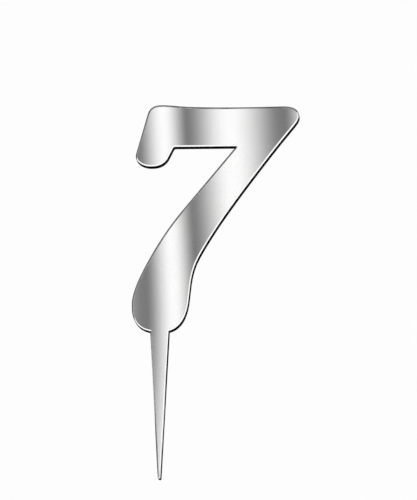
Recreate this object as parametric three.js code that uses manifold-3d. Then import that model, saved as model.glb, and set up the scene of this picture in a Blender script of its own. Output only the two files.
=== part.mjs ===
// A mirror-silver numeral 7 on a spike, for the top of a cake.
//
// It is a flat laminate. Four sheets with one outline are stacked through the
// thickness: a clear face sheet with a chamfered front rim, the mirror film
// behind it, the adhesive film, and the black backing sheet.
//
// Frame: millimetres, +X to the right of the numeral, +Z up, front facing -Y.
// The origin is on the centre line of the spike where the spike leaves the
// numeral, which is where the surface of the cake comes.

import * as THREE from 'three';
import { mergeVertices } from 'three/addons/utils/BufferGeometryUtils.js';
import Module from 'manifold-3d';

const wasm = await Module();
wasm.setup();

// ---- driving dimensions ---------------------------------------------------

const SPIKE_LENGTH = 44.2;
const SPIKE_TIP_RADIUS = 0.45;

const FACE_SHEET_THICKNESS = 0.5;
const MIRROR_FILM_THICKNESS = 0.1;
const ADHESIVE_THICKNESS = 0.1;
const BACKING_THICKNESS = 2.3;
const TOTAL_THICKNESS = FACE_SHEET_THICKNESS + MIRROR_FILM_THICKNESS
  + ADHESIVE_THICKNESS + BACKING_THICKNESS;

// The 45 degree chamfer round the front rim of the face sheet.
const FACE_CHAMFER = 0.43;

// How far from a sharp inner corner the cutter starts and stops rounding it.
const CORNER_REACH = 0.35;

// Straight pieces that each bend of the outline is cut into.
const BEND_SEGMENTS = 12;

// ---- outline, as [x, z] ---------------------------------------------------

const CREST = 70; // the highest place, at the left end of the bar
const BAR_TOP = 68.55; // the rest of the bar is a little lower
const NOSE = 41.9; // the right end of the bar
const TAIL_BOTTOM = 50.9;
const BELLY = -8.35; // the left side of the foot
const SHOULDER_LEFT = [-2.8, 0.2]; // where the sides of the spike begin
const SHOULDER_RIGHT = [2.8, 0.2];

// The numeral is drawn as straight runs, and the corner where two runs meet is
// bent. A bend starts `ahead` of its corner and ends `past` it. Where these are
// left out it reaches half-way along the run, and so flows into its neighbour.
const BENDS = [
  // up the right side
  { corner: [7.85, 1.7], ahead: 5, past: 8 }, // round the foot
  { corner: [9.7, 17.9], ahead: 4 }, // the waist
  { corner: [12.1, 23.6] }, // out of the waist
  { corner: [20, 36] }, // the leaning stem
  { corner: [34, 54.6] }, // nearly straight to the bar
  { corner: [NOSE, 64.2], ahead: 2.5, past: 1.1 }, // under the nose
  // along the bar to the left
  { corner: [NOSE, BAR_TOP], ahead: 3.2, past: 5.4 }, // over the nose
  { corner: [23, BAR_TOP], ahead: 12 }, // the slight sag
  { corner: [8.2, 69.2] }, // up to the crest
  { corner: [2, CREST], past: 1.5 }, // the crest
  { corner: [-3.05, CREST], ahead: 3.1, past: 2.8 }, // the top left corner
  // round the tail
  { corner: [-7.75, 53.3], ahead: 2 }, // the tighter left half of its end
  { corner: [-4.85, TAIL_BOTTOM], past: 2.2 },
  { corner: [1.15, TAIL_BOTTOM], ahead: 3.4, past: 3.1 }, // the wider right half
  { corner: [4.15, 56.8], ahead: CORNER_REACH, past: CORNER_REACH }, // tail to bar
  { corner: [22.95, 56.45], ahead: CORNER_REACH, past: CORNER_REACH }, // bar to stem
  // down the left side
  { corner: [3.1, 32.7], ahead: 6 }, // the leaning stem
  { corner: [-3.7, 21.8] },
  { corner: [BELLY, 11.7], past: 3.2 }, // the belly
  { corner: [BELLY, 1.5], ahead: 6.5, past: 5.4 }, // round the foot
];

// Two points of the outline closer than this are one point.
const SAME_PLACE = 0.01;

/** The point `distance` from one point on the way to another, or half-way. */
function towards([x, z], [toX, toZ], distance) {
  const whole = Math.hypot(toX - x, toZ - z);
  const share = distance === undefined ? 0.5 : distance / whole;
  return [x + (toX - x) * share, z + (toZ - z) * share];
}

/** Runs straight to a point, unless the path has reached it already. */
function addRun(path, point) {
  if (path.currentPoint.distanceTo(new THREE.Vector2(...point)) > SAME_PLACE) {
    path.lineTo(...point);
  }
}

/** The numeral's edge, anticlockwise from the right shoulder to the left one. */
function addNumeral(path) {
  const corners = [SHOULDER_RIGHT, ...BENDS.map((bend) => bend.corner), SHOULDER_LEFT];
  BENDS.forEach(({ corner, ahead, past }, i) => {
    addRun(path, towards(corner, corners[i], ahead));
    path.quadraticCurveTo(...corner, ...towards(corner, corners[i + 2], past));
  });
  addRun(path, SHOULDER_LEFT);
}

/** The spike, from the left shoulder to its rounded tip and back up. */
function addSpike(path) {
  const tipCentre = SPIKE_TIP_RADIUS - SPIKE_LENGTH;
  path.lineTo(-SPIKE_TIP_RADIUS, tipCentre);
  path.absarc(0, tipCentre, SPIKE_TIP_RADIUS, Math.PI, 2 * Math.PI, false);
  path.lineTo(...SHOULDER_RIGHT);
}

/** The whole front outline. */
function topperOutline() {
  const shape = new THREE.Shape();
  shape.moveTo(...SHOULDER_RIGHT);
  addNumeral(shape);
  addSpike(shape);
  return shape;
}

// ---- solids ---------------------------------------------------------------

/** A flat sheet of the outline, from one depth behind the front to another. */
function sheetGeometry(outline, front, back) {
  const geometry = new THREE.ExtrudeGeometry(outline, {
    depth: back - front,
    bevelEnabled: false,
    curveSegments: BEND_SEGMENTS,
  });
  geometry.translate(0, 0, TOTAL_THICKNESS / 2 - back);
  return geometry;
}

/** The same sheet with a chamfer round its front rim and another at its back. */
function chamferedGeometry(outline, front, back) {
  const geometry = new THREE.ExtrudeGeometry(outline, {
    depth: back - front - 2 * FACE_CHAMFER,
    bevelThickness: FACE_CHAMFER,
    bevelSize: FACE_CHAMFER,
    bevelOffset: -FACE_CHAMFER,
    bevelSegments: 1,
    curveSegments: BEND_SEGMENTS,
  });
  geometry.translate(0, 0, TOTAL_THICKNESS / 2 - back + FACE_CHAMFER);
  return geometry;
}

function toSolid(geometry) {
  geometry.deleteAttribute('normal');
  geometry.deleteAttribute('uv');
  const merged = mergeVertices(geometry);
  return new wasm.Manifold(new wasm.Mesh({
    numProp: 3,
    vertProperties: merged.attributes.position.array,
    triVerts: new Uint32Array(merged.index.array),
  }));
}

function toGeometry(solid) {
  const { vertProperties, triVerts } = solid.getMesh();
  const geometry = new THREE.BufferGeometry();
  geometry.setAttribute('position', new THREE.BufferAttribute(vertProperties, 3));
  geometry.setIndex(new THREE.BufferAttribute(triVerts, 1));
  return geometry;
}

/** The face sheet: a chamfered sheet twice as thick, cut off flat at its back. */
function faceSheetGeometry(outline) {
  const deeper = chamferedGeometry(outline, 0, 2 * FACE_SHEET_THICKNESS);
  const keep = sheetGeometry(outline, 0, FACE_SHEET_THICKNESS);
  return toGeometry(toSolid(deeper).intersect(toSolid(keep)));
}

// ---- the laminate ---------------------------------------------------------

// Shapes are drawn flat, with the front facing +Z. This turns them upright:
// what was up the page points along +Z and the front faces -Y.
const STAND_UP = new THREE.Matrix4().set(
  1, 0, 0, 0,
  0, 0, -1, 0,
  0, 1, 0, 0,
  0, 0, 0, 1,
);

function layer(name, geometry, look) {
  geometry.applyMatrix4(STAND_UP);
  const mesh = new THREE.Mesh(geometry, new THREE.MeshStandardMaterial(look));
  mesh.name = name;
  return mesh;
}

function buildTopper() {
  const outline = topperOutline();
  const filmFront = FACE_SHEET_THICKNESS;
  const adhesiveFront = filmFront + MIRROR_FILM_THICKNESS;
  const backingFront = adhesiveFront + ADHESIVE_THICKNESS;
  const topper = new THREE.Group();
  topper.add(
    layer('clear_face_sheet', faceSheetGeometry(outline), {
      color: 0xf4f6f6, roughness: 0.04, metalness: 0, transparent: true, opacity: 0.35,
    }),
    layer('mirror_film', sheetGeometry(outline, filmFront, adhesiveFront), {
      color: 0xe4e4e2, roughness: 0.04, metalness: 1,
    }),
    layer('adhesive_film', sheetGeometry(outline, adhesiveFront, backingFront), {
      color: 0xd8d8d0, roughness: 0.5, metalness: 0,
    }),
    layer('black_backing_sheet', sheetGeometry(outline, backingFront, TOTAL_THICKNESS), {
      color: 0x08080a, roughness: 0.2, metalness: 0,
    }),
  );
  return topper;
}

export default buildTopper();
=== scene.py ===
"""Looks for a mirror silver numeral 7 cake topper: a laminate of four sheets of one outline.

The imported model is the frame. Each of its four layers is replaced by a finer sheet that is
lofted from the layer's own outline, with rounded arrises, a bevelled and polished face, and
cut edges. Everything is in metres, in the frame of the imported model.
"""

import math

import bmesh
import bpy
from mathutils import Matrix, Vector


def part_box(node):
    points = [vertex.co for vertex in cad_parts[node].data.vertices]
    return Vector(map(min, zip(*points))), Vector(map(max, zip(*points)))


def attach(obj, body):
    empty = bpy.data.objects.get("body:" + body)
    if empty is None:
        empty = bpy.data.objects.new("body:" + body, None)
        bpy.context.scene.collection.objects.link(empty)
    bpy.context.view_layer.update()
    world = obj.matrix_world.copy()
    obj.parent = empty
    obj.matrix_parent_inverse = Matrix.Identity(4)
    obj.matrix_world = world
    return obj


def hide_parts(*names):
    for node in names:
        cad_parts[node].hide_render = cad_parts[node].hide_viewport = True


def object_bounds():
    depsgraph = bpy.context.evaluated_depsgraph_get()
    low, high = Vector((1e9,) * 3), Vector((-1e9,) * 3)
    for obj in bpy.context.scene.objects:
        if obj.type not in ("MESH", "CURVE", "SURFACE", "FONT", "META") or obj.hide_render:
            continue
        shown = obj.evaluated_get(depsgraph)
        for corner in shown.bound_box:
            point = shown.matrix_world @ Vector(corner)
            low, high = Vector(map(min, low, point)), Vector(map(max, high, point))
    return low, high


MM = 0.001

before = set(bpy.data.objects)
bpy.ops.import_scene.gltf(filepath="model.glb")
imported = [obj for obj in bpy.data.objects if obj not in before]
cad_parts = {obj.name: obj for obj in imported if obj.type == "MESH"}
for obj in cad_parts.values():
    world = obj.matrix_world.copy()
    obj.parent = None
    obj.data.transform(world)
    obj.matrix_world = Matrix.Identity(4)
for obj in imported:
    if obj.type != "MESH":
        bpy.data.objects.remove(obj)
cad_low, cad_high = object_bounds()

# ---- sizes ------------------------------------------------------------------

BEVEL = 0.43 * MM           # bevel round the front rim of the clear sheet
BEVEL_ARRIS = 0.02 * MM     # how far each side of the bevel its edges are rounded
HOLD = 0.02 * MM            # flat strip just inside an arris, which keeps the face flat
GLUE_LINE = 0.004 * MM      # half the space left between two bonded sheets
FILM_INSET = 0.04 * MM      # the film and the glue stop just short of the cut edge
BACK_ARRIS = 0.10 * MM      # rounding of the back rim
FLAT = 0.001 * MM           # points this close to a plane lie on it
CORNER_ANGLE = 30           # degrees of turn above which an outline point is a sharp corner
EDGE_LEAN = 0.35            # a cut edge's faces point less than this far to the front or back
MITRE_LIMIT = 0.5           # keeps an inset from reaching too far in at a sharp corner
LONG_STEP = 2.0 * MM        # longest straight step along a sheet's edge
END_STEP = 0.1 * MM         # first and last step along a straight, which keep its shading flat
FINE_STEP = 0.22 * MM       # longest step round a curve
TIP_EASE_HEIGHT = 8.0 * MM  # the bevel narrows over this much of the spike's point
TIP_EASE = 0.86             # and to this share of its width


# ---- outline ------------------------------------------------------------------

def back_outline(node):
    """The outline of a CAD sheet, from the rim of its flat back, as (x, z) points."""
    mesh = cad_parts[node].data
    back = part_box(node)[1].y
    spot = [(round(v.co.x, 7), round(v.co.z, 7)) for v in mesh.vertices]
    rim = set()
    for face in mesh.polygons:
        if any(mesh.vertices[v].co.y < back - FLAT for v in face.vertices):
            continue
        corners = [spot[v] for v in face.vertices]
        for a, b in zip(corners, corners[1:] + corners[:1]):
            if (b, a) in rim:
                rim.remove((b, a))
            else:
                rim.add((a, b))
    after = dict(rim)
    start = min(after)
    loop = [start]
    while after[loop[-1]] != start:
        loop.append(after[loop[-1]])
    return anticlockwise([Vector(p) for p in loop])


def anticlockwise(loop):
    area = sum(a.x * b.y - b.x * a.y for a, b in zip(loop, loop[1:] + loop[:1]))
    return loop if area > 0 else loop[::-1]


def turn_at(loop, i):
    """Degrees that the outline turns by at point i."""
    before = loop[i] - loop[i - 1]
    after = loop[(i + 1) % len(loop)] - loop[i]
    return abs(math.degrees(before.angle_signed(after)))


def smoothed(loop):
    """The same outline with its curves cut finer and its long straights divided."""
    count = len(loop)
    sharp = [turn_at(loop, i) > CORNER_ANGLE for i in range(count)]
    fine = []
    for i in range(count):
        a, b = loop[i], loop[(i + 1) % count]
        length = (b - a).length
        fine.append(a)
        if length > LONG_STEP:
            fine += straight_points(a, b, length)
            continue
        before = a if sharp[i] else loop[i - 1]
        after = b if sharp[(i + 1) % count] else loop[(i + 2) % count]
        steps = math.ceil(length / FINE_STEP)
        ends = tangents(before, a, b, after)
        fine += [hermite(a, b, *ends, step / steps) for step in range(1, steps)]
    return [inside_frame(p) for p in fine]


def straight_points(a, b, length):
    """Points along a straight, with one close to each end."""
    close = END_STEP / length
    steps = math.ceil(length / LONG_STEP)
    shares = [close] + [i / steps for i in range(1, steps)] + [1 - close]
    return [a.lerp(b, share) for share in shares]


def tangents(before, a, b, after):
    """End tangents for the curve from a to b, which ignore a long straight neighbour's length."""
    length = (b - a).length
    way_in = (a - before).normalized() + (b - a).normalized()
    way_out = (b - a).normalized() + (after - b).normalized()
    return way_in.normalized() * length, way_out.normalized() * length


def hermite(a, b, way_in, way_out, t):
    return (
        a * (2 * t ** 3 - 3 * t ** 2 + 1)
        + way_in * (t ** 3 - 2 * t ** 2 + t)
        + b * (3 * t ** 2 - 2 * t ** 3)
        + way_out * (t ** 3 - t ** 2)
    )


def inside_frame(p):
    return Vector((
        min(max(p.x, cad_low.x), cad_high.x),
        min(max(p.y, cad_low.z), cad_high.z),
    ))


def inset(loop, distance):
    """The outline moved in by a distance, a little less round the point of the spike."""
    moved = []
    for i, p in enumerate(loop):
        along_in = (p - loop[i - 1]).normalized()
        along_out = (loop[(i + 1) % len(loop)] - p).normalized()
        inward_in = Vector((-along_in.y, along_in.x))
        inward_out = Vector((-along_out.y, along_out.x))
        middle = (inward_in + inward_out).normalized()
        reach = distance / max(middle.dot(inward_in), MITRE_LIMIT)
        height = min(max((p.y - cad_low.z) / TIP_EASE_HEIGHT, 0), 1)
        moved.append(p + middle * reach * (TIP_EASE + (1 - TIP_EASE) * height))
    return moved


# ---- sheets ---------------------------------------------------------------------

def quarter(inset_from, y_from, inset_to, y_to, inset_corner, y_corner, steps=4):
    """Rings round a rounded arris: a curve between two rings that is pulled to a corner."""
    rings = []
    for i in range(steps + 1):
        t = i / steps
        a, b, c = (1 - t) ** 2, 2 * t * (1 - t), t ** 2
        rings.append((
            a * inset_from + b * inset_corner + c * inset_to,
            a * y_from + b * y_corner + c * y_to,
        ))
    return rings


def loft(name, loop, rings, body="root"):
    """A closed sheet through rings of (inset, y), from its back to its front."""
    made = bmesh.new()
    layers = []
    for distance, y in rings:
        points = inset(loop, distance) if distance else loop
        layers.append([made.verts.new((p.x, y, p.y)) for p in points])
    count = len(loop)
    edge_faces = []
    for back, front in zip(layers, layers[1:]):
        for i in range(count):
            j = (i + 1) % count
            edge_faces.append(made.faces.new((back[i], front[i], front[j], back[j])))
    made.faces.new(layers[0])
    made.faces.new(layers[-1][::-1])
    for face in made.faces:
        face.smooth = True
    bmesh.ops.recalc_face_normals(made, faces=made.faces)
    mesh = bpy.data.meshes.new(name)
    made.to_mesh(mesh)
    made.free()
    mesh.set_sharp_from_angle(angle=math.radians(CORNER_ANGLE))
    piece = bpy.data.objects.new(name, mesh)
    bpy.context.scene.collection.objects.link(piece)
    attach(piece, body)
    return piece


def is_cut_edge(face):
    """True for the faces round a sheet that the cutter made: they face out, not front or back."""
    return abs(face.normal.y) < EDGE_LEAN


def dress(piece, face_material, edge_material=None):
    piece.data.materials.append(face_material)
    if edge_material is None:
        return
    piece.data.materials.append(edge_material)
    for face in piece.data.polygons:
        face.material_index = 1 if is_cut_edge(face) else 0


def depths(node, gap_in_front=GLUE_LINE, gap_behind=GLUE_LINE):
    low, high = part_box(node)
    return low.y + gap_in_front, high.y - gap_behind


# ---- node helpers -------------------------------------------------------------

class Nodes:
    """Short calls for building a node tree."""

    def __init__(self, tree):
        self.tree = tree
        tree.nodes.clear()

    def new(self, kind, inputs=None, **settings):
        made = self.tree.nodes.new(kind)
        for name, value in settings.items():
            setattr(made, name, value)
        for name, value in (inputs or {}).items():
            self.feed(made.inputs[name], value)
        return made

    def feed(self, socket, value):
        if isinstance(value, bpy.types.NodeSocket):
            self.tree.links.new(value, socket)
        else:
            socket.default_value = value

    def maths(self, operation, *values):
        made = self.new("ShaderNodeMath", operation=operation)
        for socket, value in zip(made.inputs, values):
            self.feed(socket, value)
        return made.outputs[0]

    def between(self, value, low, high, to_low=0.0, to_high=1.0):
        """value taken smoothly from low..high to to_low..to_high."""
        made = self.new(
            "ShaderNodeMapRange",
            {
                "Value": value,
                "From Min": low,
                "From Max": high,
                "To Min": to_low,
                "To Max": to_high,
            },
            interpolation_type="SMOOTHSTEP",
        )
        return made.outputs["Result"]

    def mix(self, share, a, b):
        made = self.new("ShaderNodeMix", data_type="FLOAT")
        self.feed(made.inputs["Factor"], share)
        self.feed(made.inputs["A"], a)
        self.feed(made.inputs["B"], b)
        return made.outputs["Result"]

    def noise(self, scale, detail, stretch=(1, 1, 1), roughness=0.5):
        """Soft noise, at scale cells to a metre, since object coordinates are metres."""
        place = self.new("ShaderNodeTexCoord").outputs["Object"]
        sized = self.new("ShaderNodeMapping", {"Vector": place, "Scale": stretch})
        made = self.new(
            "ShaderNodeTexNoise",
            {"Vector": sized.outputs[0], "Scale": scale, "Detail": detail, "Roughness": roughness},
        )
        return made.outputs["Fac"]

    def ramp(self, share, *stops):
        """A colour that goes from the first stop's, at its share, to the second stop's."""
        made = self.new("ShaderNodeValToRGB", {"Fac": share})
        for point, (place, colour) in zip(made.color_ramp.elements, stops):
            point.position = place
            point.color = (*colour, 1)
        return made.outputs["Color"]


def new_material(name):
    material = bpy.data.materials.new(name)
    material.use_nodes = True
    return material, Nodes(material.node_tree)


def show(nodes, shader):
    nodes.new("ShaderNodeOutputMaterial", {"Surface": shader.outputs[0]})


# ---- materials ------------------------------------------------------------------

ACRYLIC_IOR = 1.49


def clear_acrylic():
    """Polished clear acrylic, with the faint haze that wiping leaves."""
    material, n = new_material("polished_clear_acrylic")
    haze = n.noise(180, 3)
    shader = n.new("ShaderNodeBsdfPrincipled", {
        "Base Color": n.ramp(haze, (0.3, (0.985, 0.988, 0.988)), (0.7, (1.0, 1.0, 1.0))),
        "Roughness": 0.0,
        "IOR": ACRYLIC_IOR,
        "Transmission Weight": 1.0,
    })
    show(n, shader)
    return material


def mirror_film():
    """Vacuum-metallised silver film, with the faint lengthwise streaks of its rolling."""
    material, n = new_material("metallised_silver")
    streaks = n.noise(2600, 2, stretch=(1, 1, 0.02))
    clouds = n.noise(70, 2)
    tone = n.mix(0.5, streaks, clouds)
    shader = n.new("ShaderNodeBsdfPrincipled", {
        "Base Color": n.ramp(tone, (0.3, (0.925, 0.925, 0.920)), (0.7, (0.955, 0.953, 0.948))),
        "Metallic": 1.0,
        "Roughness": n.between(clouds, 0.3, 0.7, 0.004, 0.012),
    })
    show(n, shader)
    return material


def laminating_glue():
    """Milky pressure-sensitive adhesive, with small trapped bubbles."""
    material, n = new_material("milky_glue")
    cells = n.noise(4000, 2)
    shader = n.new("ShaderNodeBsdfPrincipled", {
        "Base Color": n.ramp(cells, (0.35, (0.20, 0.20, 0.19)), (0.65, (0.34, 0.34, 0.32))),
        "Roughness": n.between(cells, 0.3, 0.7, 0.45, 0.7),
    })
    show(n, shader)
    return material


def black_acrylic():
    """Cast black acrylic, glossy, with faint smears and hairline scuffs."""
    material, n = new_material("gloss_black_acrylic")
    smear = n.noise(45, 4)
    scuffs = n.noise(900, 4, stretch=(1, 1, 0.12), roughness=0.7)
    shader = n.new("ShaderNodeBsdfPrincipled", {
        "Base Color": n.ramp(smear, (0.3, (0.004, 0.004, 0.005)), (0.7, (0.016, 0.016, 0.017))),
        "Roughness": n.mix(
            n.between(scuffs, 0.5, 0.75),
            n.between(smear, 0.3, 0.7, 0.08, 0.16),
            0.32,
        ),
        "IOR": ACRYLIC_IOR,
    })
    show(n, shader)
    return material


def black_cut_edge_painted_shade():
    """The laser-cut edge of black acrylic, with fine striations through its thickness. Its base
    colour is painted darker than the black acrylic of the faces: painted shade on the cut edge.
    """
    material, n = new_material("black_cut_edge_painted_shade")
    striations = n.noise(5200, 2, stretch=(1, 0.03, 1))
    burrs = n.noise(700, 3)
    bump = n.new("ShaderNodeBump", {"Height": striations, "Strength": 0.05, "Distance": 0.01 * MM})
    shader = n.new("ShaderNodeBsdfPrincipled", {
        # painted shade: this black is darker than the faces' black acrylic, so the cut edge looks
        # shaded
        "Base Color": n.ramp(burrs, (0.3, (0.001, 0.001, 0.001)), (0.7, (0.004, 0.004, 0.004))),
        "Roughness": n.between(striations, 0.3, 0.7, 0.12, 0.24),
        "IOR": ACRYLIC_IOR,
        "Normal": bump.outputs[0],
    })
    show(n, shader)
    return material


# ---- the four sheets ------------------------------------------------------------

outline = smoothed(back_outline("black_backing_sheet"))


def clear_face():
    front, back = depths("clear_face_sheet", gap_in_front=0)
    shoulder = front + BEVEL
    slant = BEVEL_ARRIS * math.sqrt(0.5)
    rings = [(HOLD, back), (0, back)]
    rings += quarter(0, shoulder + BEVEL_ARRIS, slant, shoulder - slant, 0, shoulder)
    rings += quarter(BEVEL - slant, front + slant, BEVEL + BEVEL_ARRIS, front, BEVEL, front)
    rings += [(BEVEL + BEVEL_ARRIS + HOLD, front)]
    piece = loft("bevelled_clear_sheet", outline, rings)
    dress(piece, clear_acrylic())
    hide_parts("clear_face_sheet")


def thin_layer(name, node, material, stop_short):
    front, back = depths(node)
    rings = [
        (stop_short + HOLD, back),
        (stop_short, back),
        (stop_short, front),
        (stop_short + HOLD, front),
    ]
    piece = loft(name, outline, rings)
    dress(piece, material)
    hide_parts(node)


def black_back():
    front, back = depths("black_backing_sheet", gap_behind=0)
    rings = [(BACK_ARRIS + HOLD, back)]
    rings += quarter(BACK_ARRIS, back, 0, back - BACK_ARRIS, 0, back)
    rings += [(0, front), (HOLD, front)]
    piece = loft("black_back_sheet", outline, rings)
    dress(piece, black_acrylic(), black_cut_edge_painted_shade())
    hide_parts("black_backing_sheet")


clear_face()
thin_layer("silver_mirror_layer", "mirror_film", mirror_film(), FILM_INSET)
thin_layer("glue_layer", "adhesive_film", laminating_glue(), 2 * FILM_INSET)
black_back()


# ---- camera ---------------------------------------------------------------------

CAMERA_AZIMUTH = 6.0          # degrees to the right of straight in front
CAMERA_ELEVATION = -14.0      # degrees: the camera looks up from below
CAMERA_DISTANCE = 1.1         # metres to the target
CAMERA_TARGET = Vector((14.60, -1.05, 24.70)) * MM
VIEW_HEIGHT = 148.95 * MM     # what the tall side of the picture takes in at the target
SENSOR = 36.0                 # millimetres, for the picture's tall side
CLIP = (0.05, 50)             # metres: nothing nearer or farther is drawn


def direction(azimuth, elevation):
    """The way to a point at this azimuth, from straight in front to the right, and elevation."""
    a, e = math.radians(azimuth), math.radians(elevation)
    return Vector((math.sin(a) * math.cos(e), -math.cos(a) * math.cos(e), math.sin(e)))


def add_camera():
    data = bpy.data.cameras.new("camera")
    data.sensor_width = SENSOR
    data.lens = SENSOR * CAMERA_DISTANCE / VIEW_HEIGHT
    data.clip_start = CLIP[0]
    data.clip_end = CLIP[1]
    camera = bpy.data.objects.new("camera", data)
    back = direction(CAMERA_AZIMUTH, CAMERA_ELEVATION)
    camera.location = CAMERA_TARGET + back * CAMERA_DISTANCE
    camera.rotation_mode = "QUATERNION"
    camera.rotation_quaternion = (-back).to_track_quat("-Z", "Y")
    bpy.context.scene.collection.objects.link(camera)
    bpy.context.scene.camera = camera


# ---- studio ---------------------------------------------------------------------
# The backdrop and the light that falls on the object are plain and pale. A mirror would show
# that as plain white, so what reflections see is different: tall soft strip lights with grey
# gaps between them, and round those a hoop of light with a grey side. They are set out from
# the direction in which the face reflects the camera. The strips are alike all round the
# front, so the mirror finds light and grey bands in them from other sides too.

WHITE = 0.98               # the plain background
AZIMUTH_SHARE = 0.97       # a degree of azimuth is this much sideways, at the face's elevation
STRIP_PERIOD = 2.32        # degrees from one grey gap to the next alike
STRIP_PHASE = 0.41         # where in that the mirror's middle looks
STRIP_BOW = 0.22           # degrees that the strips bow sideways by, above and below their middle
STRIP_MIDDLE = -1.4        # the height of their middle, from where the face looks
STRIP_REACH = 4.5          # how far above and below it they bow
STRIP_LIGHT = 1.05         # brightness of a strip
STRIP_GREY = 0.21          # and of the gaps
NARROW_STRIP = (0.00, 0.18, 0.19, 0.35)  # shares of a period: starts, is full, fades, ends
WIDE_STRIP = (0.33, 0.62, 0.64, 0.99)
HOOP_INNER = (17, 21)      # degrees from its middle between which the hoop begins
HOOP_OUTER = (42, 36)      # and between which it ends
HOOP_BLEND = (-3, 3)       # where its grey side gives way to its lit side
HOOP_AXIS = (-0.35, 0.94)  # sideways and up: the way from the hoop's grey side to its lit side
HOOP_LIT = 1.15            # brightness of the hoop's lit side
HOOP_GREY = 0.08           # and of its grey side
HOOP_SHEER = 0.25          # how much of the strips shows through the grey side
PANEL_SPAN = (-22, -6)     # elevations between which the panel behind brightens
PANEL_LIGHT = (0.10, 0.6)  # from this to this
FLAG_EDGE = (0.72, 0.93)   # cosines of the angle from straight behind, for the flag's soft edge
FRONT_EDGE = (-0.1, 0.2)   # the same for where the front of the studio gives way to the back


def strip_light(n, phase, starts, full, fades, ends):
    """One soft-edged strip light across a period, from 0 to 1."""
    return n.maths("MULTIPLY", n.between(phase, starts, full), n.between(phase, ends, fades))


def studio():
    world = bpy.data.worlds.new("studio")
    bpy.context.scene.world = world
    world.use_nodes = True
    n = Nodes(world.node_tree)
    way = n.new("ShaderNodeSeparateXYZ", {
        "Vector": n.new("ShaderNodeTexCoord").outputs["Generated"],
    })
    x, y, z = (way.outputs[axis] for axis in "XYZ")
    azimuth = n.maths("DEGREES", n.maths("ARCTAN2", x, n.maths("MULTIPLY", y, -1)))
    elevation = n.maths("DEGREES", n.maths("ARCSINE", z))
    # sideways and upwards from where the face looks, in degrees
    across = n.maths("MULTIPLY", n.maths("ADD", azimuth, CAMERA_AZIMUTH), AZIMUTH_SHARE)
    up = n.maths("ADD", elevation, CAMERA_ELEVATION)
    from_middle = n.maths("ABSOLUTE", n.maths("SUBTRACT", up, STRIP_MIDDLE))
    bowed = n.maths("ADD", across, n.between(from_middle, 0, STRIP_REACH, 0, STRIP_BOW))
    turns = n.maths("ADD", n.maths("DIVIDE", bowed, STRIP_PERIOD), STRIP_PHASE)
    phase = n.maths("FRACT", turns)
    lit = n.maths("ADD", strip_light(n, phase, *NARROW_STRIP), strip_light(n, phase, *WIDE_STRIP))
    strips = n.mix(lit, STRIP_GREY, STRIP_LIGHT)
    # a hoop light round the strips: lit at the upper left, flagged grey at the lower right
    away = n.maths("SQRT", n.maths("ADD", n.maths("POWER", across, 2), n.maths("POWER", up, 2)))
    hoop = n.maths("MULTIPLY", n.between(away, *HOOP_INNER), n.between(away, *HOOP_OUTER))
    side = n.maths(
        "ADD",
        n.maths("MULTIPLY", across, HOOP_AXIS[0]),
        n.maths("MULTIPLY", up, HOOP_AXIS[1]),
    )
    grey_side = n.mix(n.maths("MULTIPLY", lit, HOOP_SHEER), HOOP_GREY, STRIP_LIGHT)
    ring = n.mix(n.between(side, *HOOP_BLEND), grey_side, HOOP_LIT)
    front = n.mix(hoop, strips, ring)
    # behind: a soft panel, with a black flag straight behind that keeps the cut edges black
    panel = n.between(elevation, *PANEL_SPAN, *PANEL_LIGHT)
    back = n.mix(n.between(y, *FLAG_EDGE), panel, 0.0)
    seen_in_gloss = n.mix(n.between(y, *FRONT_EDGE), front, back)
    path = n.new("ShaderNodeLightPath")
    glossy = n.maths("MAXIMUM", path.outputs["Is Glossy Ray"], path.outputs["Is Transmission Ray"])
    not_camera = n.maths("SUBTRACT", 1, path.outputs["Is Camera Ray"])
    strength = n.mix(n.maths("MULTIPLY", glossy, not_camera), WHITE, seen_in_gloss)
    background = n.new("ShaderNodeBackground", {"Color": (1, 1, 1, 1), "Strength": strength})
    n.new("ShaderNodeOutputWorld", {"Surface": background.outputs[0]})


FLOOR_HEIGHT = -1.30       # low enough to look at the topper from below
FLOOR_RADIUS = 2.7
FLOOR_FADE = 1.4           # the floor fades out from here to its rim
FLOOR_SIDES = 96


def floor_material():
    material, n = new_material("studio_floor")
    place = n.new("ShaderNodeTexCoord").outputs["Object"]
    radius = n.new("ShaderNodeVectorMath", {0: place}, operation="LENGTH").outputs["Value"]
    mottle = n.noise(6, 3)
    paint = n.new("ShaderNodeBsdfPrincipled", {
        "Base Color": n.ramp(mottle, (0.3, (0.90, 0.90, 0.90)), (0.7, (0.93, 0.93, 0.93))),
        "Roughness": 0.9,
        "Specular IOR Level": 0.0,
    })
    nothing = n.new("ShaderNodeBsdfTransparent")
    mixed = n.new("ShaderNodeMixShader", {
        0: n.between(radius, FLOOR_FADE, FLOOR_RADIUS),
        1: paint.outputs[0],
        2: nothing.outputs[0],
    })
    show(n, mixed)
    return material


def add_floor():
    made = bmesh.new()
    bmesh.ops.create_circle(made, cap_ends=True, radius=FLOOR_RADIUS, segments=FLOOR_SIDES)
    mesh = bpy.data.meshes.new("studio_floor")
    made.to_mesh(mesh)
    made.free()
    floor = bpy.data.objects.new("studio_floor", mesh)
    floor.location = (0, 0, FLOOR_HEIGHT)
    bpy.context.scene.collection.objects.link(floor)
    mesh.materials.append(floor_material())
    floor.visible_glossy = False
    floor.visible_transmission = False


add_camera()
studio()
add_floor()
bpy.context.scene.view_settings.view_transform = "Standard"
